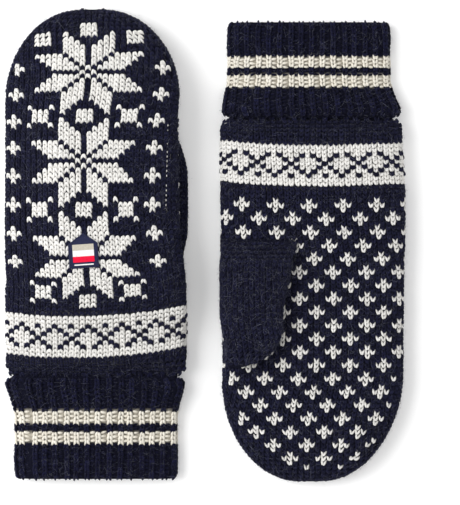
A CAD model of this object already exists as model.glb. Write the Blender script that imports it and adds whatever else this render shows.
import math

import bpy
import numpy as np
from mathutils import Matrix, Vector


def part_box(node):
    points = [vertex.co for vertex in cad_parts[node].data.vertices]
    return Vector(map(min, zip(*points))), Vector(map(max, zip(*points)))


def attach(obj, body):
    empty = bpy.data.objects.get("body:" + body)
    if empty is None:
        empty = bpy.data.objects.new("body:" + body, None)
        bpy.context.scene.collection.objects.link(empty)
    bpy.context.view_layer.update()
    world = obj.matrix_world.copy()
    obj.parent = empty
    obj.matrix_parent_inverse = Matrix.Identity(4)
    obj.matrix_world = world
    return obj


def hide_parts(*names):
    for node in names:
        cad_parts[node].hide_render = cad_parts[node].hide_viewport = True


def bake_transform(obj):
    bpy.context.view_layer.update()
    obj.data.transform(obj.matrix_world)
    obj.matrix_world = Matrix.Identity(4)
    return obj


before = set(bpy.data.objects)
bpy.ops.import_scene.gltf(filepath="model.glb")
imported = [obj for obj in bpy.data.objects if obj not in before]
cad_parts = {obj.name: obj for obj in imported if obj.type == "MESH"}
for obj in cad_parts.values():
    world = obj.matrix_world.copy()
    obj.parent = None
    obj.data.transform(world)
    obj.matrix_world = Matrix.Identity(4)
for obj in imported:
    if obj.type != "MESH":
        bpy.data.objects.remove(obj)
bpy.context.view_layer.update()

# A pair of stranded wool mittens. Every stitch is a pair of short yarn legs laid on the hand's surface.
# Each mitten is worked in its own frame, in millimetres: x across the hand towards the thumb,
# y from the wrist crease towards the fingertips, z out of the palm. place() puts it in the pair.
MM = 0.001
rng = np.random.default_rng(4)

# ---- sizes, in millimetres ----
HEM_START = 5.0
HALF_HEIGHT = 10.4
THUMB_LIFT = 12.3
HEM_HALF_HEIGHT = 3.0
HEM_ROLL = 11.0
HEM_WIDTH_LOSS = 5.2
TIP_FLAT = 6.5
TIP_THINNING = 24.0
TIP_ROUND = {"left": 54.0, "right": 62.0}
KNUCKLE_WIDTH_LOSS = {"left": 1.3, "right": 0.3}
OVAL_POWER = 3.0
FLOOR_CLEARANCE = 0.05
# How the hand lies: distance from the crease, sideways shift, extra half width.
LIE = {"left": ((0.0, 0.9, 0.5), (58.0, 1.0, 0.9), (84.0, -1.1, -0.2), (150.0, -1.4, -0.4),
                (180.0, -0.8, 0.4), (216.0, -0.9, 0.5)),
       "right": ((0.0, 0.9, 0.0), (24.0, 1.1, 0.2), (42.0, 0.0, 1.1), (76.0, 0.0, 0.9),
                 (100.0, 0.0, 0.2), (160.0, 0.2, 0.1), (186.0, 1.3, -0.4), (214.0, 1.6, -1.2))}

CUFF_HALF_HEIGHT = 6.8
CUFF_HALF_WIDTH = 48.2
CUFF_FLARE = 4.9
CUFF_FLARE_LENGTH = 24.0
CUFF_SHIFT = {"left": (0.2, 0.8), "right": (0.7, 2.3)}
CUFF_TUCK = 3.4
CUFF_TUCK_DEPTH = 4.8
CUFF_TUCK_RUN = 5.4
CUFF_END_ROUND = 3.0
CUFF_CORNER = 2.6

THUMB_BASE = 72.8
THUMB_LENGTH = 75.0
THUMB_OUTER_EDGE = 55.0
THUMB_LEAN = {"left": 2.3, "right": 3.5}
THUMB_HAIR_REACH = {"left": 4.5, "right": 9.0}
# How far the outer corner is rounded off, and over what length. The left thumb swings close to its neighbour.
THUMB_CORNER = {"left": (12.0, 26.0), "right": (2.0, 5.0)}
THUMB_WIDTH = 36.0
THUMB_TIP_FLAT = 1.5
THUMB_OVAL_POWER = 2.6
THUMB_ROOT_EXTRA = 6.6
THUMB_HALF_HEIGHT = 6.0
THUMB_ROOT_HALF_HEIGHT = 1.0
THUMB_ROOT_DROP = 1.1
THUMB_GAP = 0.3
THUMB_ROOT_SLOPE = 14.0
THUMB_TIP_ROUND = 28.0
THUMB_THINNING = 16.0
PIVOT = (31.0, 89.8)
PASSAGE_RADIUS = 11.0
PASSAGE_MARGIN = 2.0
PASSAGE_WALL = 1.4

# ---- the knitting ----
STITCH = 3.3
ROW = 2.6
YARN_WIDTH = 1.66
YARN_DEPTH = 1.35
# White yarn is worked looser in stars and bands than in the palm's small dots.
CREAM_FATNESS = {False: 1.06, True: 0.88}
LEG_LENGTH = 4.05
STAR_AXIS = -3.9
BAND_ROWS = (6, 16)
CUFF_ROWS = 25
RIBS = 32
CUFF_STRIPES = ((8, 11), (13, 16))
# How deep a leg of yarn sits in the surface, and how the navy stands proud of the white in the band.
STITCH_INSET = 0.7
DECREASE_START = 6.0
BAND_NAVY_LIFT = 0.4
BAND_NAVY_FATNESS = 1.3
MOST_COLUMNS = 24
LINKING_PITCH = 1.1
WHIP_PITCH = 0.9

# ---- loose fibres: kind, count, rise, reach, only at the sides ----
WORN_NAP = 0.4
FACE_FIBRES = (("navy", 3300, 0.28, 9.0, False), ("cream", 900, 0.2, 5.0, False),
               ("veil", 1500, 0.1, 6.0, False), ("halo", 900, 0.9, 4.5, True))

# ---- the sewn label, from its own centre ----
LABEL_CENTRE = (-5.4, 74.6)
LABEL_TILT = 4.0
LABEL_GABLE = ((-8.6, -9.8), (8.6, -9.8), (8.6, 4.4), (0.6, 10.6), (-8.6, 4.4))
# Plain straight bands: half width, lower edge, upper edge.
LABEL_BANDS = {"white": (6.2, -3.1, 0.6), "beige": (6.2, 0.5, 4.0), "red": (6.2, -6.4, -3.0), "line": (5.6, -8.2, -7.5)}
LABEL_HEM = 0.94

# ---- the studio, in metres and watts ----
SKY_STRENGTH = 0.76
LAMP_POWER = 31.0
LAMP_SIZE = (1.2, 1.6)
LAMP_PLACE = (-1.3, 0.25, 1.25)
CAMERA_DISTANCE = 1.6
VIEW_WIDTH = 0.270
SENSOR_WIDTH = 36.0
CAMERA_PLACE = (0.0150, -0.0040, CAMERA_DISTANCE + 0.015)


def smooth(value):
    t = np.clip(value, 0.0, 1.0)
    return t * t * (3.0 - 2.0 * t)


def quarter(value):
    t = np.clip(value, 0.0, 1.0)
    return np.sqrt(np.clip(1.0 - (1.0 - t) ** 2, 0.0, 1.0))


def oval(angle, power):
    """Across, up, and how far a rounded oblong reaches at an angle."""
    c, s = np.cos(angle), np.sin(angle)
    return c, s, (np.abs(c) ** power + np.abs(s) ** power) ** (-1.0 / power)


def unit(vectors):
    return vectors / np.linalg.norm(vectors, axis=1, keepdims=True)


class Mitten:
    """One mitten's measures, read from its CAD parts, and the way from its own frame to the pair's."""

    def __init__(self, side):
        self.side = side
        low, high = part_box(side + "_hand_shell")
        cuff_low, cuff_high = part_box(side + "_rib_cuff")
        self.half_width = 0.5 * (high[0] - low[0]) / MM
        self.centre_x = 0.5 * (high[0] + low[0]) / MM
        self.hand = (high[1] - low[1]) / MM + HEM_START
        self.tip = TIP_ROUND[side]
        self.lift = THUMB_LIFT if side == "left" else 0.0
        self.floor_side = 1.0 if side == "left" else -1.0
        self.floor = HALF_HEIGHT - 0.4
        if side == "left":
            self.crease_y = low[1] / MM - HEM_START
            self.cuff = self.crease_y - cuff_low[1] / MM
        else:
            self.crease_y = high[1] / MM + HEM_START
            self.cuff = cuff_high[1] / MM - self.crease_y
        self.rows = self.row_places()

    def place(self, points):
        x, y, z = points[:, 0], points[:, 1], points[:, 2]
        if self.side == "left":
            placed = (self.centre_x + x, self.crease_y + y, np.maximum(self.floor - z, FLOOR_CLEARANCE))
        else:
            placed = (self.centre_x - x, self.crease_y - y, np.maximum(self.floor + z, FLOOR_CLEARANCE))
        return np.stack(placed, axis=1) * MM

    def row_places(self):
        # Where each round lies along the middle of the hand. The knitting is tighter in the band.
        if self.side == "left":
            knots = [0, 6, 16, 30, 50, 70, 84]
            places = [1.3, 12.0, 36.2, 71.7, 128.3, 180.2, self.hand]
        else:
            knots = [0, 6, 16, 19, 83]
            places = [1.3, 17.0, 40.9, 48.6, self.hand]
        return np.interp(np.arange(knots[-1]) + 0.5, knots, places)

    def drape(self, x, y):
        across = smooth((x + 50.0) / 34.0)
        rising = smooth((y - 16.0) / 44.0)
        falling = 1.0 - 0.75 * smooth((y - 152.0) / 64.0)
        return -self.lift * across * rising * falling

    def lie(self, y):
        knots, shifts, extras = zip(*LIE[self.side])
        steps = (-9.0, -3.0, 3.0, 9.0)
        soft = [np.interp(y + step, knots, values) for values in (shifts, extras) for step in steps]
        return sum(soft[:4]) / 4.0, sum(soft[4:]) / 4.0

    def half_width_at(self, y):
        knuckle = KNUCKLE_WIDTH_LOSS[self.side] * smooth((y - 30.0) / 110.0)
        hem = HEM_WIDTH_LOSS * (1.0 - quarter((y - 0.6) / 8.0))
        full = self.half_width - knuckle - hem + self.lie(y)[1]
        return TIP_FLAT + (full - TIP_FLAT) * quarter((self.hand - y) / self.tip)

    def half_height_at(self, y):
        hem = HEM_HALF_HEIGHT + (HALF_HEIGHT - HEM_HALF_HEIGHT) * smooth((y - 0.6) / HEM_ROLL)
        return hem * quarter((self.hand - y) / TIP_THINNING)

    def section_point(self, angle, y, inset=0.0):
        # Angle 0 is the thumb edge, a quarter turn is the palm, half a turn the far edge.
        c, s, reach = oval(angle, OVAL_POWER)
        x = self.lie(y)[0] + np.maximum(self.half_width_at(y) - inset, 0.2) * c * reach
        z = np.maximum(self.half_height_at(y) - inset, 0.05) * s * reach
        return np.stack([x, y, z], axis=-1)

    def hand_point(self, angle, y, inset=0.0):
        point = self.section_point(angle, y, inset)
        point[..., 2] += self.drape(point[..., 0], point[..., 1])
        return point

    def cuff_point(self, angle, y, inset=0.0):
        c, s, reach = oval(angle, OVAL_POWER)
        flare = CUFF_FLARE * (1.0 - smooth(-y / CUFF_FLARE_LENGTH))
        tuck = CUFF_TUCK_DEPTH * (1.0 - quarter((0.9 - y) / CUFF_TUCK_RUN))
        end = 1.0 - quarter((y + self.cuff) / CUFF_END_ROUND)
        drop = (HALF_HEIGHT - CUFF_HALF_HEIGHT) * smooth(-y / CUFF_FLARE_LENGTH)
        corner = CUFF_CORNER * (1.0 - quarter((y + self.cuff) / (2.0 * CUFF_END_ROUND)))
        half_height = CUFF_HALF_HEIGHT + 1.0 * (1.0 - smooth(-y / 22.0)) - 0.85 * tuck - 0.8 * end - inset
        first, far = CUFF_SHIFT[self.side]
        half_width = CUFF_HALF_WIDTH + flare - tuck - corner - inset
        x = first + (far - first) * smooth(-y / 20.0) + half_width * c * reach
        z = half_height * s * reach + drop * self.floor_side
        return np.stack([x, y, z], axis=-1)

    def thumb_point(self, angle, y, inset=0.0):
        from_tip = THUMB_BASE + THUMB_LENGTH - y
        c, s, reach = oval(angle, THUMB_OVAL_POWER)
        width = THUMB_TIP_FLAT + (THUMB_WIDTH - THUMB_TIP_FLAT) * quarter(from_tip / THUMB_TIP_ROUND)
        width = width + THUMB_ROOT_EXTRA * smooth((from_tip - 20.0) / 50.0)
        half_width = 0.5 * width
        rise = smooth((y - THUMB_BASE) / THUMB_ROOT_SLOPE)
        round_off, round_run = THUMB_CORNER[self.side]
        outer = THUMB_OUTER_EDGE - THUMB_LEAN[self.side] * smooth((y - 112.0) / 30.0)
        outer = outer - round_off * (1.0 - quarter(from_tip / round_run)) - 2.5 * (1.0 - rise)
        height = THUMB_ROOT_HALF_HEIGHT + (THUMB_HALF_HEIGHT - THUMB_ROOT_HALF_HEIGHT) * rise
        thin = quarter(from_tip / THUMB_THINNING)
        centre_z = HALF_HEIGHT + THUMB_GAP + height - self.lift - THUMB_ROOT_DROP * (1.0 - rise)
        x = outer - half_width + np.maximum(half_width - inset, 0.2) * c * reach
        z = centre_z + np.maximum(height * thin - inset, 0.05) * s * reach
        return np.stack([x, y, z], axis=-1)


# ---- surface frames and arc lengths ----
def surface_frame(point, angle, y):
    """Place, sideways, along and outward directions of a surface at the given angles and y."""
    step_angle = 0.004
    step_y = 0.15
    place = point(angle, y)
    side = point(angle + step_angle, y) - point(angle - step_angle, y)
    along = unit(point(angle, y + step_y) - point(angle, y - step_y))
    out = unit(np.cross(unit(side), along)) * -1.0
    return place, np.cross(along, out), along, out


def arc_table(point, y, start, stop, count=181):
    angles = np.linspace(start, stop, count)
    around = point(angles, np.full(count, y))
    steps = np.linalg.norm(np.diff(around[:, [0, 2]], axis=0), axis=1)
    return angles, np.concatenate([[0.0], np.cumsum(steps)])


# ---- the chart: which yarn each stitch is worked in ----
def in_star(col, row):
    a = abs(col)
    b = abs(row)
    flat_petal = 1 <= b <= 4 and b + 1 <= a <= b + 5
    tall_petal = 1 <= a <= 4 and a + 1 <= b <= a + 5
    return flat_petal or tall_petal or (a, b) in ((0, 1), (1, 0))


def in_block(col, row):
    return abs(col) <= 1 and abs(row) <= 1


def in_corner_block(col, row):
    return in_block(col, row) or (abs(col) == 2 and abs(row) == 2)


def in_dot(col, row):
    return (col == 0 and abs(row) <= 1) or (row == 0 and abs(col) == 1)


def in_band(col, row):
    # row counts from the fingertip side of the ten-row band. True is white.
    dark = {2: (0, 3), 3: (1, 5), 4: (2, 4), 5: (3,), 6: (2, 4), 7: (1, 5)}
    return col % 6 not in dark.get(row, ())


def back_chart(col, number):
    row = 69 - number
    if BAND_ROWS[0] <= number < BAND_ROWS[1]:
        return in_band(col, BAND_ROWS[1] - 1 - number)
    if number < BAND_ROWS[0]:
        return False
    if any(in_star(col, row - centre) for centre in (0, 20, 40)):
        return True
    if any(in_block(col, row - centre) for centre in (-10, 10, 30, 50)):
        return True
    for side in (-8, 8):
        if in_block(col - side, row + 8):
            return True
        if any(in_corner_block(col - side, row - centre) for centre in (10, 30, 48)):
            return True
    return any(in_dot(abs(col) - 13, row - centre) for centre in range(-1, 42, 6))


def palm_chart(col, number):
    if BAND_ROWS[0] <= number < BAND_ROWS[1]:
        return in_band(col, BAND_ROWS[1] - 1 - number)
    if number < BAND_ROWS[1] + 3:
        return False
    step = (number - 19) // 3
    shifted = col - 3 * (step % 2)
    return in_dot((shifted + 3) % 6 - 3, (number - 19) % 3 - 1)


# ---- rounds that bow across the hand ----
def bow(mitten, x, y, palm):
    fading = 1.0 - 0.85 * smooth((y - 38.0) / 36.0) - 0.15 * smooth((y - 74.0) / 40.0)
    strength = smooth((y - 1.0) / 11.0) * fading
    if mitten.side == "right":
        return -strength * (2.4 + 0.7 * x / 53.0) * (x / 53.0) ** 2
    tip = smooth((y - 172.0) / 24.0) * (0.03 * x - 0.7)
    if palm:
        return tip + strength * (2.3 + 3.7 * (x + 52.0) / 104.0)
    return tip + strength * 6.0 * ((x + 12.0) / 64.0) ** 2


def wale_shift(y, palm, cols):
    # The thumb pulls the columns aside on its way past.
    if palm:
        pulled = smooth((y - 56.0) / 44.0) * (1.0 - smooth((y - 145.0) / 40.0))
        return 2.4 - 4.4 * pulled
    thumb_side = smooth(cols / 13.0)
    lean = 2.1 * smooth((y - 140.0) / 40.0) * (1.0 + 0.5 * thumb_side)
    return STAR_AXIS + lean - 3.2 * thumb_side * math.exp(-((y - 108.0) / 36.0) ** 2)


def wobble(s, y, seed):
    value = 0.0
    for number in range(4):
        turn = 1.7 * number + 0.9 * seed
        length = 9.0 + 7.0 * number
        distance = s * math.cos(turn) + y * math.sin(turn)
        value = value + np.sin(distance * 6.283 / length + 2.3 * seed + number)
    return value / 4.0


# ---- yarn ----
def select_none():
    bpy.ops.object.select_all(action="DESELECT")


def face_outwards(merge=None):
    bpy.ops.object.mode_set(mode="EDIT")
    bpy.ops.mesh.select_all(action="SELECT")
    if merge is not None:
        bpy.ops.mesh.remove_doubles(threshold=merge)
    bpy.ops.mesh.normals_make_consistent(inside=False)
    bpy.ops.object.mode_set(mode="OBJECT")


def apply_modifier(obj, kind, **settings):
    made = obj.modifiers.new("shape", kind)
    for key, value in settings.items():
        setattr(made, key, value)
    bpy.ops.object.modifier_apply(modifier="shape")


def yarn_leg():
    """One leg of a stitch, of unit length, modelled once: plump at the head, drawn out at the tail."""
    select_none()
    bpy.ops.mesh.primitive_uv_sphere_add(segments=6, ring_count=4, radius=0.5,
                                         rotation=(math.radians(-90.0), 0, 0))
    leg = bpy.context.object
    bpy.ops.object.transform_apply(rotation=True)
    for low, high, size in ((-0.45, -0.2, 0.82), (0.2, 0.45, 1.2)):
        bpy.ops.object.mode_set(mode="EDIT")
        bpy.ops.mesh.select_all(action="DESELECT")
        bpy.ops.object.mode_set(mode="OBJECT")
        for vertex in leg.data.vertices:
            vertex.select = low < vertex.co.y < high
        bpy.ops.object.mode_set(mode="EDIT")
        bpy.ops.transform.resize(value=(size, 1.0, size), center_override=(0, 0, 0))
    face_outwards()
    return leg


def stray_hair():
    """A loose fibre of unit length, modelled once: a three-sided thread with a curl."""
    select_none()
    bpy.ops.mesh.primitive_grid_add(x_subdivisions=3, y_subdivisions=3, size=1.0)
    hair = bpy.context.object
    for vertex in hair.data.vertices:
        turn = (vertex.co.x + 0.5) * 2.0 * math.pi
        along = vertex.co.y
        radius = 0.5 * math.sqrt(max(0.02, 1.0 - (2.0 * along) ** 2))
        vertex.co = (radius * math.cos(turn) + 3.2 * math.sin(5.0 * along), along,
                     radius * math.sin(turn) + 1.5 * math.cos(4.0 * along))
    face_outwards(0.0001)
    return hair


def in_pair(mitten, x, y, z):
    return tuple(mitten.place(np.array([[x, y, z]]))[0])


class Template:
    """A modelled piece read back, ready to be copied."""

    def __init__(self, obj):
        mesh = obj.data
        self.points = np.array([v.co[:] for v in mesh.vertices])
        self.faces = [tuple(p.vertices) for p in mesh.polygons]
        self.sizes = np.array([len(f) for f in self.faces])
        self.corners = np.concatenate([np.array(f) for f in self.faces])
        self.uv = np.array([d.uv[:] for d in mesh.uv_layers[0].data])
        bpy.data.objects.remove(obj, do_unlink=True)


def copies(name, template, mitten, places, sides, alongs, outs, sizes, shades):
    """Copies of a template, one for each place, as one mesh. sizes are width, length and depth."""
    count = len(places)
    scaled = template.points[None, :, :] * sizes[:, None, :]
    points = (places[:, None, :] + scaled[:, :, 0:1] * sides[:, None, :]
              + scaled[:, :, 1:2] * alongs[:, None, :] + scaled[:, :, 2:3] * outs[:, None, :])
    points = mitten.place(points.reshape(-1, 3))
    per = len(template.points)
    corners = (template.corners[None, :] + per * np.arange(count)[:, None])
    corner_counts = np.tile(template.sizes, count)
    starts = np.concatenate([[0], np.cumsum(corner_counts)[:-1]])
    mesh = bpy.data.meshes.new(name)
    mesh.vertices.add(count * per)
    mesh.vertices.foreach_set("co", points.astype(np.float32).ravel())
    mesh.loops.add(count * len(template.corners))
    mesh.loops.foreach_set("vertex_index", corners.astype(np.int32).ravel())
    mesh.polygons.add(len(corner_counts))
    mesh.polygons.foreach_set("loop_start", starts.astype(np.int32))
    mesh.polygons.foreach_set("use_smooth", np.ones(len(corner_counts), dtype=bool))
    layer = mesh.uv_layers.new(name="yarn")
    layer.data.foreach_set("uv", np.tile(template.uv, (count, 1)).astype(np.float32).ravel())
    shade = mesh.attributes.new("shade", "FLOAT", "POINT")
    shade.data.foreach_set("value", np.repeat(shades, per).astype(np.float32))
    mesh.update(calc_edges=True)
    mesh.validate()
    obj = bpy.data.objects.new(name, mesh)
    bpy.context.scene.collection.objects.link(obj)
    select_none()
    obj.select_set(True)
    bpy.context.view_layer.objects.active = obj
    face_outwards()
    return obj


class Stitches:
    """Collects the yarn legs of one piece."""

    def __init__(self):
        self.parts = []

    def add(self, place, side, along, out, size, shade):
        self.parts.append((place, side, along, out, size, shade))

    def gathered(self):
        return [np.concatenate([part[i] for part in self.parts]) for i in range(6)]

    def build(self, name, template, mitten):
        return copies(name, template, mitten, *self.gathered())

    def hairs(self, name, template, mitten, count, lift, reach, halo=False):
        """Stray fibres standing out of these stitches. A halo is drawn from the sides only."""
        place, side, along, out = self.gathered()[:4]
        if halo:
            sides = np.abs(out[:, 2]) < 0.75
            place, side, along, out = place[sides], side[sides], along[sides], out[sides]
        chosen = rng.integers(0, len(place), count)
        turn = rng.uniform(0.0, 2.0 * math.pi, count)[:, None]
        length = rng.uniform(0.35, 1.0, count) ** 1.6 * reach
        rise = np.abs(rng.normal(0.0, lift, count))[:, None]
        along = unit(np.cos(turn) * along[chosen] + np.sin(turn) * side[chosen] + rise * out[chosen])
        side = unit(np.cross(along, out[chosen]))
        up = np.cross(side, along)
        start = place[chosen] + 0.62 * out[chosen] + 0.42 * length[:, None] * rise * out[chosen]
        start = start + rng.normal(0.0, 0.8, count)[:, None] * side
        thick = rng.uniform(0.03, 0.06, count)
        curl = thick * rng.uniform(0.4, 2.2, count) * rng.choice([-1.0, 1.0], count)
        sizes = np.stack([curl, length, thick], axis=1)
        shades = rng.uniform(-1.0, 1.0, count)
        return copies(name, template, mitten, start, side, along, up, sizes, shades)


def lay_stitches(store, place, side, along, out, width, length, spread=0.25, lean=0.36, rise=0.25, fat=1.0):
    """Two legs for each stitch, heads together towards +along and tails apart."""
    count = len(place)
    if count == 0:
        return
    shade = rng.uniform(-1.0, 1.0, count)
    for hand in (-1.0, 1.0):
        jitter = rng.normal(0.0, 1.0, (count, 5))
        slant = -hand * (lean + 0.07 * jitter[:, 0])[:, None]
        lift = (rise + 0.03 * jitter[:, 1])[:, None]
        leg_along = unit(along + slant * side + lift * out)
        leg_side = unit(np.cross(leg_along, out))
        leg_out = np.cross(leg_side, leg_along)
        offset = (hand * spread * width + 0.05 * jitter[:, 2])[:, None] * side
        middle = place + offset + (0.1 * jitter[:, 3])[:, None] * out + (0.16 * jitter[:, 4])[:, None] * along
        plump = fat * (1.0 + 0.07 * rng.normal(0.0, 1.0, count))
        size = np.stack([YARN_WIDTH * plump * width / STITCH, np.full(count, LEG_LENGTH * length / ROW),
                         YARN_DEPTH * plump], axis=1)
        tone = np.clip(shade + 0.3 * jitter[:, 0], -1.5, 1.5)
        store.add(middle, leg_side, leg_along, leg_out, size, tone)


# ---- knitting the hand ----
def clear_of_passage(place):
    return np.hypot(place[:, 0] - PIVOT[0], place[:, 1] - PIVOT[1]) > PASSAGE_RADIUS + PASSAGE_MARGIN


def knit_face(mitten, palm, navy, cream):
    far_edge = math.pi if palm else -math.pi
    chart = palm_chart if palm else back_chart
    rows = mitten.rows
    gaps = np.gradient(rows)
    decreases = mitten.hand - mitten.tip + DECREASE_START
    for number, y in enumerate(rows):
        # The columns are spaced on the section as knitted flat, before it is draped over the thumb.
        angles, lengths = arc_table(mitten.section_point, y, far_edge, 0.0)
        middle = 0.5 * lengths[-1]
        margin = (1.9 if y > decreases else 0.3) * STITCH
        cols = np.arange(-MOST_COLUMNS, MOST_COLUMNS + 1)
        s = cols * STITCH + wale_shift(y, palm, cols)
        keep = np.abs(s) <= middle - margin
        cols = cols[keep]
        s = s[keep]
        if len(cols) == 0:
            continue
        angle = np.interp(s + middle, lengths, angles)
        x = mitten.section_point(angle, np.full(len(s), y))[:, 0]
        row_y = y + bow(mitten, x, y, palm) + 0.25 * wobble(s, y, 1 + palm)
        stretch = bow(mitten, x, y + 1.0, palm) - bow(mitten, x, y - 1.0, palm)
        length = gaps[number] * (1.0 + 0.5 * stretch)
        angle = np.interp(s + middle + 0.4 * wobble(s, y, 3 + palm), lengths, angles)
        place, side, along, out = surface_frame(mitten.hand_point, angle, row_y)
        place = place + (0.3 * wobble(s, y, 5 + palm) - STITCH_INSET)[:, None] * out
        white = np.array([chart(int(c), number) for c in cols])
        if palm and THUMB_BASE - 1.0 < y < THUMB_BASE + 16.0:
            white &= x < 11.5
        if palm and y > 0.7 * mitten.hand:
            rim = mitten.half_width_at(y + 3.0) - np.abs(x - mitten.lie(y)[0])
            white &= (rim > 4.5) & (y < mitten.hand - 8.0)
        clear = clear_of_passage(place) if palm else np.ones(len(cols), dtype=bool)
        banded = BAND_ROWS[0] <= number < BAND_ROWS[1]
        if banded:
            place = place + np.where(white, 0.0, BAND_NAVY_LIFT)[:, None] * out
        for store, mask, fat in ((cream, white & clear, CREAM_FATNESS[palm and not banded]),
                                 (navy, ~white & clear, BAND_NAVY_FATNESS if banded else 1.0)):
            lay_stitches(store, place[mask], side[mask], along[mask], out[mask], STITCH, length[mask], fat=fat)
        if not palm and 96.0 < y < 150.0:
            # Where the unused white yarn peeps out between two columns.
            angle = np.interp(middle + np.array([43.8 + 0.03 * (y - 96.0)]), lengths, angles)
            place, side, along, out = surface_frame(mitten.hand_point, angle, np.array([y]))
            if rng.random() < 0.8:
                cream.add(place - 0.25 * out, side, along, out, np.array([[0.55, 1.5, 0.6]]), np.array([-1.0]))
    knit_tip_edges(mitten, navy, decreases, far_edge)


def knit_tip_edges(mitten, navy, start_y, far_edge):
    """Columns that follow the rounded fingertips, where the others are decreased away."""
    fine = start_y + (mitten.hand - start_y) * np.sin(np.linspace(0.0, 0.5 * math.pi, 400))
    for thumb_edge in (False, True):
        for offset in (0.35, 1.25):
            outline = np.stack([mitten.half_width_at(fine), fine], axis=1)
            run = np.concatenate([[0.0], np.cumsum(np.linalg.norm(np.diff(outline, axis=0), axis=1))])
            places = np.interp(np.arange(0.0, run[-1], ROW), run, fine)
            angles = []
            for y in places:
                table, lengths = arc_table(mitten.hand_point, y, far_edge, 0.0)
                s = min(offset * STITCH, 0.5 * lengths[-1])
                angles.append(np.interp(lengths[-1] - s if thumb_edge else s, lengths, table))
            place, _, _, out = surface_frame(mitten.hand_point, np.array(angles), places)
            outline_x = mitten.half_width_at(places + 0.2) - mitten.half_width_at(places - 0.2)
            direction = np.stack([outline_x * (1.0 if thumb_edge else -1.0), np.full(len(places), 0.4),
                                  np.zeros(len(places))], axis=1)
            along = unit(direction - np.sum(direction * out, axis=1)[:, None] * out)
            lay_stitches(navy, place - 0.75 * out, np.cross(along, out), along, out, STITCH, ROW)


# ---- the thumb and the cuff ----
def knit_thumb(mitten, navy):
    # Columns run parallel to the outer edge. Those at the inner edge are decreased away towards the tip.
    rows = THUMB_BASE + 1.2 + ROW * np.arange(int((THUMB_LENGTH - 1.5) / ROW))
    for y in rows:
        for turn in (1.0, -1.0):
            angles, lengths = arc_table(mitten.thumb_point, y, 0.0, turn * math.pi, 121)
            s = np.arange(0.5 * STITCH, lengths[-1] - 0.6 * STITCH, STITCH)
            s = np.append(s, lengths[-1] - 0.3 * STITCH)
            angle = np.interp(s + 0.3 * wobble(s, y, 2.0 + turn), lengths, angles)
            row_y = y + 0.2 * wobble(s, y, 4.0 + turn)
            place, side, along, out = surface_frame(mitten.thumb_point, angle, row_y)
            place = place + (0.3 * wobble(s, y, 6.0 + turn) - STITCH_INSET)[:, None] * out
            under = place[:, 2] < HALF_HEIGHT + THUMB_GAP - mitten.lift + 2.0
            keep = ~under | clear_of_passage(place)
            lay_stitches(navy, place[keep], side[keep], along[keep], out[keep], STITCH, ROW)


def knit_cuff(mitten, navy, cream):
    pitch = mitten.cuff / CUFF_ROWS
    ribs = np.arange(RIBS)
    drift = rng.normal(0.0, 0.35, RIBS)
    for number in range(-1, CUFF_ROWS):
        y = -(number + 0.5) * pitch
        if mitten.side == "left":
            y = y - 0.9 * smooth(number / 9.0) * (1.0 - smooth((number - 16.0) / 9.0))
        angles, lengths = arc_table(mitten.cuff_point, y, 0.0, 2.0 * math.pi, 361)
        rib = lengths[-1] / RIBS
        striped = any(first <= number < last for first, last in CUFF_STRIPES)
        store = cream if striped else navy
        for raised in (True, False):
            s = (ribs + (0.25 if raised else 0.75)) * rib + drift
            s = s + 0.45 * wobble(s, y, 7) + rng.normal(0.0, 0.12, RIBS)
            level = y + 0.3 * wobble(s, y, 9) + (0.0 if raised else 0.5 * pitch)
            angle = np.interp(s % lengths[-1], lengths, angles)
            place, side, along, out = surface_frame(mitten.cuff_point, angle, level)
            if raised:
                place = place + (0.25 * wobble(s, y, 11) - STITCH_INSET)[:, None] * out
                lay_stitches(store, place, side, along, out, rib * 0.54, pitch,
                             spread=0.26, lean=0.3, rise=0.22, fat=1.05)
            else:
                place = place + rng.normal(-1.2 if striped else -1.75, 0.12, RIBS)[:, None] * out
                jitter = rng.normal(0.0, 0.12, (RIBS, 2))
                across = side + jitter[:, :1] * along
                bumps = np.array([[0.72 * pitch, rib * 0.62, 1.5]]) * (1.0 + 0.5 * jitter[:, 1:])
                store.add(place, along, across, out, bumps, rng.uniform(-1.0, 1.0, RIBS) - 0.5)


# ---- sewn and lined parts ----
def sew_ring(mitten, yarn, y, inset):
    """A two-ply linking yarn round the inside of the wrist."""
    angles, lengths = arc_table(mitten.section_point, y, 0.0, 2.0 * math.pi, 361)
    steps = int(lengths[-1] / LINKING_PITCH)
    angle = np.interp(np.arange(steps) * lengths[-1] / steps, lengths, angles)
    level = np.full(steps, y)
    side, along, out = surface_frame(mitten.section_point, angle, level)[1:]
    slant = unit(side + 0.45 * along)
    size = np.tile(np.array([[1.0, 2.0, 1.1]]), (steps, 1))
    yarn.add(mitten.section_point(angle, level, inset), np.cross(slant, out), slant, out, size,
             rng.uniform(-1.0, 1.0, steps))


def sew_border(thread, outline, z):
    """Small whip stitches along a closed outline."""
    for number, corner in enumerate(outline):
        following = outline[(number + 1) % len(outline)]
        run = np.array(following) - np.array(corner)
        span = np.linalg.norm(run)
        steps = int(span / WHIP_PITCH)
        share = (np.arange(steps) + 0.5) / steps
        place = np.array(corner)[None, :] + share[:, None] * run[None, :]
        place = np.concatenate([place, np.full((steps, 1), z)], axis=1)
        along = np.tile(np.append(run / span, 0.0), (steps, 1))
        out = np.tile(np.array([0.0, 0.0, -1.0]), (steps, 1))
        leg = unit(np.cross(along, out) + 0.5 * along)
        size = np.tile(np.array([[0.55, 1.5, 0.4]]), (steps, 1))
        thread.add(place, np.cross(leg, out), leg, out, size, rng.uniform(-1.0, 1.0, steps))


def label_outline(shape, scale=1.0):
    """Corners given from the label's centre, turned and put on the hand."""
    c, s = math.cos(math.radians(LABEL_TILT)), math.sin(math.radians(LABEL_TILT))
    return [(LABEL_CENTRE[0] + scale * (x * c - y * s), LABEL_CENTRE[1] + scale * (x * s + y * c)) for x, y in shape]


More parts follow.
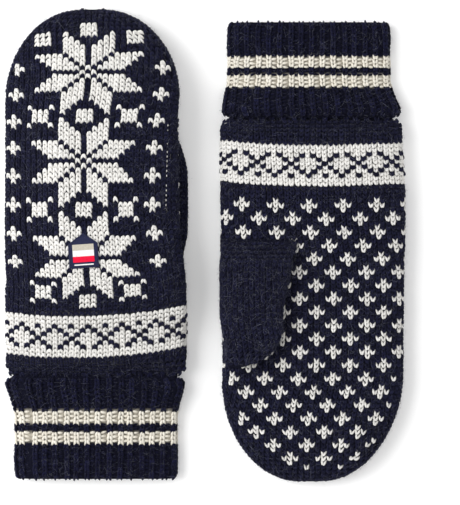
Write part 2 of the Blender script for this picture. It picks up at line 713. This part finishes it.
def plate(name, mitten, outline, low_z, high_z, bevel):
    """A flat piece cut to an outline, with a soft edge."""
    select_none()
    bpy.ops.mesh.primitive_circle_add(vertices=len(outline), fill_type="NGON", radius=1.0)
    obj = bpy.context.object
    obj.name = name
    placed = mitten.place(np.array([(x, y, low_z) for x, y in outline]))
    for vertex, corner in zip(obj.data.vertices, placed):
        vertex.co = corner
    lift = mitten.place(np.array([[0.0, 0.0, high_z]]))[0][2] - placed[0][2]
    bpy.ops.object.mode_set(mode="EDIT")
    bpy.ops.mesh.select_all(action="SELECT")
    bpy.ops.mesh.extrude_region_move(TRANSFORM_OT_translate={"value": (0.0, 0.0, lift)})
    face_outwards()
    apply_modifier(obj, "BEVEL", width=bevel * MM, segments=2)
    return obj


def collar(name, mitten):
    """The short knitted passage between hand and thumb."""
    low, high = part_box(mitten.side + "_thumb_gusset")
    radius = 0.5 * (high[0] - low[0]) - 0.0002
    select_none()
    bpy.ops.mesh.primitive_cylinder_add(vertices=64, radius=radius, depth=high[2] - low[2],
                                        end_fill_type="NOTHING",
                                        location=[0.5 * (low[i] + high[i]) for i in range(3)])
    obj = bpy.context.object
    obj.name = name
    bpy.ops.object.transform_apply(location=True)
    apply_modifier(obj, "SOLIDIFY", thickness=PASSAGE_WALL * MM, offset=-1.0)
    bpy.ops.object.shade_smooth()
    return obj


# ---- smooth surfaces under the yarn ----
def tube(name, mitten, point, reach_y, grid, inset, wall, closed_tip=True, hole=None):
    """A knitted backing or a lining: a grid wrapped round, with a wall of its own."""
    low_y, high_y = reach_y
    select_none()
    bpy.ops.mesh.primitive_grid_add(x_subdivisions=grid[0], y_subdivisions=grid[1], size=1.0)
    obj = bpy.context.object
    obj.name = name
    mesh = obj.data
    flat = np.array([v.co[:] for v in mesh.vertices])
    angle = (flat[:, 0] + 0.5) * 2.0 * math.pi
    share = flat[:, 1] + 0.5
    if closed_tip:
        share = np.sin(share * 0.5 * math.pi) ** 0.9
    wrapped = point(angle, low_y + (high_y - low_y) * share, inset)
    mesh.vertices.foreach_set("co", mitten.place(wrapped).astype(np.float32).ravel())
    mesh.update()
    face_outwards(0.00005)
    if hole is not None:
        bpy.ops.object.mode_set(mode="EDIT")
        bpy.ops.mesh.select_mode(type="FACE")
        bpy.ops.mesh.select_all(action="DESELECT")
        bpy.ops.object.mode_set(mode="OBJECT")
        centre = in_pair(mitten, PIVOT[0], PIVOT[1], 0.0)
        for face in mesh.polygons:
            near = math.hypot(face.center[0] - centre[0], face.center[1] - centre[1]) < PASSAGE_RADIUS * MM
            face.select = near and hole(face.center[2])
        bpy.ops.object.mode_set(mode="EDIT")
        bpy.ops.mesh.delete(type="FACE")
        bpy.ops.mesh.select_mode(type="VERT")
        bpy.ops.object.mode_set(mode="OBJECT")
    apply_modifier(obj, "SOLIDIFY", thickness=wall * MM, offset=-1.0)
    bpy.ops.object.shade_smooth()
    return obj


def mark_floats(obj, values):
    """Marks where the backing is crossed by white yarn."""
    attribute = obj.data.attributes.new("floats", "FLOAT", "POINT")
    attribute.data.foreach_set("value", values.astype(np.float32))


def own_places(obj, mitten):
    points = np.array([v.co[:] for v in obj.data.vertices]) / MM
    sign = 1.0 if mitten.side == "left" else -1.0
    return (points[:, 0] - mitten.centre_x) * sign, (points[:, 1] - mitten.crease_y) * sign


def mark_band(obj, mitten):
    x, y = own_places(obj, mitten)
    rows = np.arange(len(mitten.rows)) + 0.5
    low, high = np.interp((BAND_ROWS[0], BAND_ROWS[1]), rows, mitten.rows)
    y = y - bow(mitten, x, y, mitten.side == "right")
    mark_floats(obj, (y > low) & (y < high))


def mark_stripes(obj, mitten):
    y = own_places(obj, mitten)[1]
    number = -y / (mitten.cuff / CUFF_ROWS)
    striped = np.zeros(len(y), dtype=bool)
    for first, last in CUFF_STRIPES:
        striped |= (number > first) & (number < last)
    mark_floats(obj, striped)


# ---- materials ----
PLY_SLANT = 0.7
PLY_TURNS = 2.2
TAIL_DARKNESS = 0.9


def new_material(name):
    material = bpy.data.materials.new(name)
    material.use_nodes = True
    nodes = material.node_tree.nodes
    links = material.node_tree.links
    return material, nodes, links, nodes["Principled BSDF"]


def node(nodes, kind, **settings):
    made = nodes.new(kind)
    for key, value in settings.items():
        setattr(made, key, value)
    return made


def colour_mix(nodes, links, factor, first, second):
    mix = node(nodes, "ShaderNodeMix", data_type="RGBA")
    links.new(factor, mix.inputs[0])
    for value, socket in ((first, mix.inputs[6]), (second, mix.inputs[7])):
        if isinstance(value, tuple):
            socket.default_value = value
        else:
            links.new(value, socket)
    return mix.outputs[2]


def ramp(nodes, links, value, low, high, out_low=0.0, out_high=1.0):
    made = node(nodes, "ShaderNodeMapRange")
    links.new(value, made.inputs["Value"])
    made.inputs["From Min"].default_value = low
    made.inputs["From Max"].default_value = high
    made.inputs["To Min"].default_value = out_low
    made.inputs["To Max"].default_value = out_high
    return made.outputs["Result"]


def noise(nodes, links, where, scale, detail=2.0):
    made = node(nodes, "ShaderNodeTexNoise")
    made.inputs["Scale"].default_value = scale
    made.inputs["Detail"].default_value = detail
    links.new(where.outputs["Object"], made.inputs["Vector"])
    return made.outputs["Fac"]


def total(nodes, links, first, second):
    made = node(nodes, "ShaderNodeMath", operation="ADD")
    links.new(first, made.inputs[0])
    links.new(second, made.inputs[1])
    return made.outputs["Value"]


def finish_shader(nodes, links, shader, tone, height, depth, strength=1.0, **settings):
    """The colour, the relief and the named settings of a material."""
    links.new(tone, shader.inputs["Base Color"])
    for key, value in settings.items():
        shader.inputs[key.replace("_", " ")].default_value = value
    bump = node(nodes, "ShaderNodeBump")
    bump.inputs["Strength"].default_value = strength
    bump.inputs["Distance"].default_value = depth
    links.new(height, bump.inputs["Height"])
    links.new(bump.outputs["Normal"], shader.inputs["Normal"])


def yarn_material(name, deep, body, light, sheen, sheen_tint, fleck=None):
    """Plied, brushed wool: twist lines along each leg, heathered fibres and a soft nap."""
    material, nodes, links, shader = new_material(name)
    where = node(nodes, "ShaderNodeTexCoord")
    uv = node(nodes, "ShaderNodeUVMap", uv_map="yarn")
    shade = node(nodes, "ShaderNodeAttribute", attribute_name="shade")
    fibres = noise(nodes, links, where, 1500.0, 3.0)
    clouds = noise(nodes, links, where, 90.0)
    mapping = node(nodes, "ShaderNodeMapping")
    mapping.inputs["Rotation"].default_value = (0.0, 0.0, PLY_SLANT)
    links.new(uv.outputs["UV"], mapping.inputs["Vector"])
    twist = node(nodes, "ShaderNodeTexWave")
    twist.inputs["Scale"].default_value = PLY_TURNS
    twist.inputs["Distortion"].default_value = 1.5
    links.new(mapping.outputs["Vector"], twist.inputs["Vector"])
    tone = colour_mix(nodes, links, ramp(nodes, links, fibres, 0.35, 0.7), deep, body)
    tone = colour_mix(nodes, links, ramp(nodes, links, shade.outputs["Fac"], -1.2, 1.8, 0.0, 0.6), tone, light)
    tone = colour_mix(nodes, links, ramp(nodes, links, clouds, 0.3, 0.7, 0.0, 0.3), tone, deep)
    # Each leg is darker at the tail, where it dives behind the stitch before it.
    ends = node(nodes, "ShaderNodeSeparateXYZ")
    links.new(uv.outputs["UV"], ends.inputs["Vector"])
    tone = colour_mix(nodes, links, ramp(nodes, links, ends.outputs["Y"], 0.2, 0.62, TAIL_DARKNESS, 0.0), tone, deep)
    if fleck is not None:
        specks = noise(nodes, links, where, 420.0, 4.0)
        tone = colour_mix(nodes, links, ramp(nodes, links, specks, 0.62, 0.75, 0.0, 0.45), tone, fleck)
    finish_shader(nodes, links, shader, tone, total(nodes, links, twist.outputs["Fac"], fibres), 0.0003, 0.5,
                  Roughness=0.92, Specular_IOR_Level=0.15, Sheen_Weight=sheen, Sheen_Roughness=0.5,
                  Sheen_Tint=sheen_tint)
    return material


def backing_material(name, dark, light):
    """The inner side of the stitches and the floats behind them."""
    material, nodes, links, shader = new_material(name)
    floats = node(nodes, "ShaderNodeAttribute", attribute_name="floats")
    fibres = noise(nodes, links, node(nodes, "ShaderNodeTexCoord"), 700.0)
    tone = colour_mix(nodes, links, floats.outputs["Fac"], dark, light)
    tone = colour_mix(nodes, links, ramp(nodes, links, fibres, 0.3, 0.8, 0.0, 0.5), tone, dark)
    finish_shader(nodes, links, shader, tone, fibres, 0.0006, Roughness=0.95, Specular_IOR_Level=0.1)
    return material


def cloth_material(name, dark, light, scale, depth, roughness=0.9, sheen=0.1, ribs=None):
    """Woven or brushed cloth: a fine height pattern over a slightly uneven colour."""
    material, nodes, links, shader = new_material(name)
    where = node(nodes, "ShaderNodeTexCoord")
    nap = height = noise(nodes, links, where, scale, 4.0)
    if ribs is not None:
        weave = node(nodes, "ShaderNodeTexWave", bands_direction="Y")
        weave.inputs["Scale"].default_value = ribs
        links.new(where.outputs["Object"], weave.inputs["Vector"])
        height = total(nodes, links, weave.outputs["Fac"], nap)
    tone = colour_mix(nodes, links, ramp(nodes, links, nap, 0.3, 0.7), dark, light)
    finish_shader(nodes, links, shader, tone, height, depth, Roughness=roughness, Specular_IOR_Level=0.25,
                  Sheen_Weight=sheen)
    return material


def floor_material():
    material, _, _, shader = new_material("paper_floor")
    for key, value in (("Base Color", (0.93, 0.93, 0.93, 1.0)), ("Emission Color", (1.0, 1.0, 1.0, 1.0)),
                       ("Emission Strength", 0.2), ("Roughness", 0.9), ("Specular IOR Level", 0.0)):
        shader.inputs[key].default_value = value
    return material


COOL_SHEEN = (0.5, 0.53, 0.8, 1)
NAVY = yarn_material("navy_wool", (0.0012, 0.0013, 0.0065, 1), (0.006, 0.0063, 0.027, 1),
                     (0.0185, 0.0198, 0.058, 1), 0.06, COOL_SHEEN, (0.055, 0.052, 0.06, 1))
CREAM = yarn_material("cream_wool", (0.72, 0.7, 0.67, 1), (0.86, 0.85, 0.82, 1), (0.9, 0.89, 0.87, 1),
                      0.1, (1, 1, 1, 1))
RIB_NAVY = yarn_material("rib_navy_wool", (0.0007, 0.0007, 0.005, 1), (0.0042, 0.0046, 0.024, 1),
                         (0.0135, 0.0148, 0.056, 1), 0.06, COOL_SHEEN, (0.05, 0.05, 0.06, 1))
RIB_CREAM = yarn_material("rib_cream_wool", (0.68, 0.63, 0.54, 1), (0.87, 0.84, 0.75, 1), (0.9, 0.88, 0.81, 1),
                          0.1, (1, 1, 1, 1))
HAIR = cloth_material("stray_wool", (0.022, 0.025, 0.055, 1), (0.2, 0.21, 0.26, 1), 250.0, 0.0001)
VEIL = cloth_material("veiling_wool", (0.012, 0.013, 0.03, 1), (0.03, 0.032, 0.06, 1), 250.0, 0.0001)
CREAM_HAIR = cloth_material("stray_cream_wool", (0.5, 0.48, 0.44, 1), (0.75, 0.73, 0.7, 1), 900.0, 0.0001)
BACKING = backing_material("stitch_backing", (0.0045, 0.0048, 0.0125, 1), (0.3, 0.29, 0.27, 1))
RIB_BACKING = backing_material("rib_backing", (0.0045, 0.0048, 0.0125, 1), (0.5, 0.46, 0.38, 1))
FLEECE = cloth_material("fleece", (0.018, 0.019, 0.03, 1), (0.05, 0.052, 0.07, 1), 650.0, 0.0009, sheen=0.5)
LINKING = cloth_material("linking_yarn", (0.006, 0.0065, 0.016, 1), (0.014, 0.015, 0.033, 1), 1500.0, 0.0002)
SATIN = cloth_material("label_satin", (0.72, 0.72, 0.7, 1), (0.82, 0.82, 0.8, 1), 300.0, 0.00005, 0.4, 0.0, 420.0)
WEAVE_NAVY = cloth_material("label_navy", (0.009, 0.011, 0.04, 1), (0.022, 0.027, 0.085, 1), 1800.0, 0.00012,
                            0.75, 0.05, 900.0)
WEAVE_WHITE, WEAVE_BEIGE, WEAVE_RED = (
    cloth_material("label_" + name, dark, light, 1800.0, 0.0001, 0.7, 0.0, 900.0) for name, dark, light in (
        ("white", (0.86, 0.86, 0.86, 1), (0.94, 0.94, 0.94, 1)),
        ("beige", (0.5, 0.46, 0.38, 1), (0.64, 0.6, 0.51, 1)),
        ("red", (0.78, 0.0, 0.035, 1), (0.92, 0.004, 0.05, 1))))
FIBRES = {"navy": HAIR, "cream": CREAM_HAIR, "veil": VEIL, "halo": VEIL}


# ---- putting the pair together ----
def finish_piece(obj, material, body, blend_to=None, nodes=()):
    obj.data.materials.clear()
    obj.data.materials.append(material)
    if blend_to is None:
        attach(obj, body)
    else:
        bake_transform(obj)
    if nodes:
        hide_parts(*nodes)


def sew_label(mitten, leg):
    """The gabled woven label on the back of the hand, in plain bands."""
    hand = mitten.side + "_hand"
    top = -HALF_HEIGHT - mitten.lift - 0.4
    patch = plate("left_label_patch", mitten, label_outline(LABEL_GABLE), top + 0.9, top - 0.2, 0.25)
    finish_piece(patch, WEAVE_NAVY, hand, nodes=("left_woven_label",))
    bands = (("white", WEAVE_WHITE), ("beige", WEAVE_BEIGE), ("red", WEAVE_RED), ("line", WEAVE_WHITE))
    for number, (name, material) in enumerate(bands):
        half, low, high = LABEL_BANDS[name]
        shape = ((-half, low), (half, low), (half, high), (-half, high))
        band = plate("left_label_" + name, mitten, label_outline(shape), top - 0.15, top - 0.34 - 0.03 * number, 0.04)
        finish_piece(band, material, hand)
    thread = Stitches()
    sew_border(thread, label_outline(LABEL_GABLE, LABEL_HEM), top - 0.3)
    stitching = thread.build("left_label_stitching", leg, mitten)
    finish_piece(stitching, WEAVE_NAVY, hand, nodes=("left_label_thread",))


def satin_tag(side):
    """The blank care ribbon, as large as its CAD part."""
    low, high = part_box(side + "_care_label")
    select_none()
    bpy.ops.mesh.primitive_cube_add(size=1.0)
    tag = bpy.context.object
    tag.name = side + "_satin_tag"
    for vertex in tag.data.vertices:
        vertex.co = [0.5 * (low[i] + high[i]) + vertex.co[i] * (high[i] - low[i]) for i in range(3)]
    apply_modifier(tag, "BEVEL", width=0.2 * MM, segments=2)
    return tag


def dress_hand(mitten, leg, hair):
    side = mitten.side
    hand = side + "_hand"

    def palm_hole(z):
        return (z > 0.015) == (side == "right")

    for face, palm in (("back", False), ("palm", True)):
        navy, cream = Stitches(), Stitches()
        knit_face(mitten, palm, navy, cream)
        name = side + "_" + face
        # The face that lies on the floor is rubbed smoother.
        nap = 1.0 if palm == (side == "right") else WORN_NAP
        finish_piece(navy.build(name + "_navy_yarn", leg, mitten), NAVY, hand)
        finish_piece(cream.build(name + "_cream_yarn", leg, mitten), CREAM, hand)
        for kind, count, rise, reach, halo in FACE_FIBRES:
            store = navy if kind in ("navy", "halo") else cream
            fuzz = store.hairs(name + "_" + kind + "_hairs", hair, mitten, int(nap * count), rise, reach, halo)
            finish_piece(fuzz, FIBRES[kind], hand)
    ground = tube(side + "_hand_backing", mitten, mitten.hand_point, (0.5, mitten.hand), (104, 72), 1.3, 1.2,
                  hole=palm_hole)
    mark_band(ground, mitten)
    finish_piece(ground, BACKING, hand, nodes=(side + "_hand_shell",))
    fleece = tube(side + "_hand_fleece", mitten, mitten.hand_point, (9.0, mitten.hand - 1.5), (80, 48), 3.1, 1.0,
                  hole=palm_hole)
    finish_piece(fleece, FLEECE, hand, nodes=(side + "_hand_lining",))
    passage = collar(side + "_thumb_collar", mitten)
    finish_piece(passage, LINKING, hand, nodes=(side + "_thumb_gusset",))
    seam = Stitches()
    sew_ring(mitten, seam, 7.2, 3.9)
    ring = seam.build(side + "_linking_seam", leg, mitten)
    finish_piece(ring, LINKING, hand, nodes=(side + "_wrist_seam",))
    finish_piece(satin_tag(side), SATIN, hand, nodes=(side + "_care_label",))


def dress_thumb(mitten, leg, hair):
    side = mitten.side
    hand = side + "_hand"
    root = (side + "_thumb", in_pair(mitten, 31.0, 76.0, 16.0), in_pair(mitten, 31.0, 102.0, 16.0))
    name = side + "_thumb_"
    tip = THUMB_BASE + THUMB_LENGTH
    navy = Stitches()
    knit_thumb(mitten, navy)
    finish_piece(navy.build(name + "yarn", leg, mitten), NAVY, hand, root)
    for part, material, count, rise, reach, halo in (
            ("hairs", HAIR, 1800, 0.28, THUMB_HAIR_REACH[side], False), ("halo_hairs", VEIL, 400, 0.9, 4.0, True)):
        fuzz = navy.hairs(name + part, hair, mitten, count, rise, reach, halo)
        finish_piece(fuzz, material, hand, root)
    ground = tube(name + "backing", mitten, mitten.thumb_point, (THUMB_BASE + 0.5, tip), (72, 48), 1.2, 1.0)
    mark_floats(ground, np.zeros(len(ground.data.vertices)))
    finish_piece(ground, BACKING, hand, root, (name + "shell",))
    fleece = tube(name + "fleece", mitten, mitten.thumb_point, (THUMB_BASE + 9.0, tip - 2.0), (64, 36), 2.6, 0.9)
    finish_piece(fleece, FLEECE, hand, root, (name + "lining",))


def dress_cuff(mitten, leg, hair):
    side = mitten.side
    hand = side + "_hand"
    wrist = (side + "_cuff", in_pair(mitten, 0, 2.0, 0), in_pair(mitten, 0, -9.0, 0))
    name = side + "_cuff_"
    navy, cream = Stitches(), Stitches()
    knit_cuff(mitten, navy, cream)
    finish_piece(navy.build(name + "navy_yarn", leg, mitten), RIB_NAVY, hand, wrist)
    finish_piece(cream.build(name + "cream_yarn", leg, mitten), RIB_CREAM, hand, wrist)
    for kind, store, count, rise, reach in (("navy", navy, 2000, 0.25, 7.0), ("halo", navy, 500, 0.9, 4.0),
                                            ("cream", cream, 600, 0.25, 5.0)):
        fuzz = store.hairs(name + kind + "_hairs", hair, mitten, count, rise, reach, kind == "halo")
        finish_piece(fuzz, FIBRES[kind], hand, wrist)
    ground = tube(name + "backing", mitten, mitten.cuff_point, (-mitten.cuff + 0.5, CUFF_TUCK), (104, 24), 1.7, 0.8,
                  closed_tip=False)
    mark_stripes(ground, mitten)
    finish_piece(ground, RIB_BACKING, hand, wrist, (side + "_rib_cuff",))


def stage():
    select_none()
    bpy.ops.mesh.primitive_plane_add(size=6.0, location=(0, 0, 0))
    floor = bpy.context.object
    floor.name = "floor"
    floor.data.materials.append(floor_material())
    world = bpy.data.worlds.new("studio")
    bpy.context.scene.world = world
    world.use_nodes = True
    sky = world.node_tree.nodes["Background"]
    sky.inputs["Color"].default_value = (1.0, 1.0, 1.0, 1.0)
    sky.inputs["Strength"].default_value = SKY_STRENGTH
    window = bpy.data.lights.new("window", "AREA")
    window.shape = "RECTANGLE"
    window.size, window.size_y = LAMP_SIZE
    window.energy = LAMP_POWER
    lamp = bpy.data.objects.new("window", window)
    lamp.location = LAMP_PLACE
    lamp.rotation_euler = (-Vector(LAMP_PLACE)).to_track_quat("-Z", "Y").to_euler()
    bpy.context.scene.collection.objects.link(lamp)
    lens = bpy.data.cameras.new("overhead")
    lens.sensor_fit = "HORIZONTAL"
    lens.sensor_width = SENSOR_WIDTH
    lens.lens = SENSOR_WIDTH * CAMERA_DISTANCE / VIEW_WIDTH
    camera = bpy.data.objects.new("overhead", lens)
    camera.location = CAMERA_PLACE
    bpy.context.scene.collection.objects.link(camera)
    bpy.context.scene.camera = camera
    bpy.context.scene.view_settings.view_transform = "Standard"


leg_template = Template(yarn_leg())
hair_template = Template(stray_hair())
for mitten_side in ("left", "right"):
    worn = Mitten(mitten_side)
    for dress in (dress_hand, dress_thumb, dress_cuff):
        dress(worn, leg_template, hair_template)
    if mitten_side == "left":
        sew_label(worn, leg_template)
stage()
